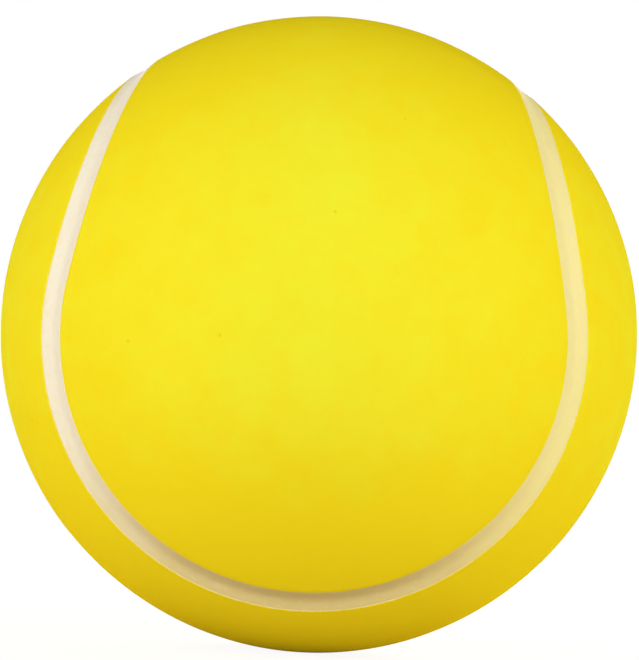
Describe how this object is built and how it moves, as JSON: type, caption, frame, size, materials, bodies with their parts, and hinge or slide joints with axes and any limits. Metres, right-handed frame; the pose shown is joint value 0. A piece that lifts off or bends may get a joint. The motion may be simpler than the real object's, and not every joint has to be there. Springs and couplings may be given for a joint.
{
  "type": "tennis ball",
  "caption": "Hollow rubber core covered by interlocking dumbbell-shaped felt panels that meet at a continuous recessed rubber seam; bounces and is struck with a racket.",
  "frame": {"origin": "middle of the ball", "axes": "+Z along the axis that the seam repeats about in half turns, through the middle of the waist of the felt panel whose lobes face -Y and +Y; +X through the middle of a lobe of the other panel"},
  "size_m": [0.067, 0.067, 0.067],
  "materials": {
    "core_rubber": "matt moulded rubber",
    "core_cement": "cured rubber cement, slightly glossy",
    "rubber_solution": "dried rubber solution, satin",
    "felt": "short, close, matt felt",
    "seam_rubber": "matt vulcanised rubber"
  },
  "bodies": {
    "root": {"core_half_upper": "core_rubber", "core_half_lower": "core_rubber", "core_joint_cement": "core_cement", "core_adhesive_coat": "rubber_solution", "felt_backing_upper": "rubber_solution", "felt_backing_lower": "rubber_solution", "felt_panel_upper": "felt", "felt_panel_lower": "felt", "seam_rubber": "seam_rubber"}
  },
  "joints": []
}
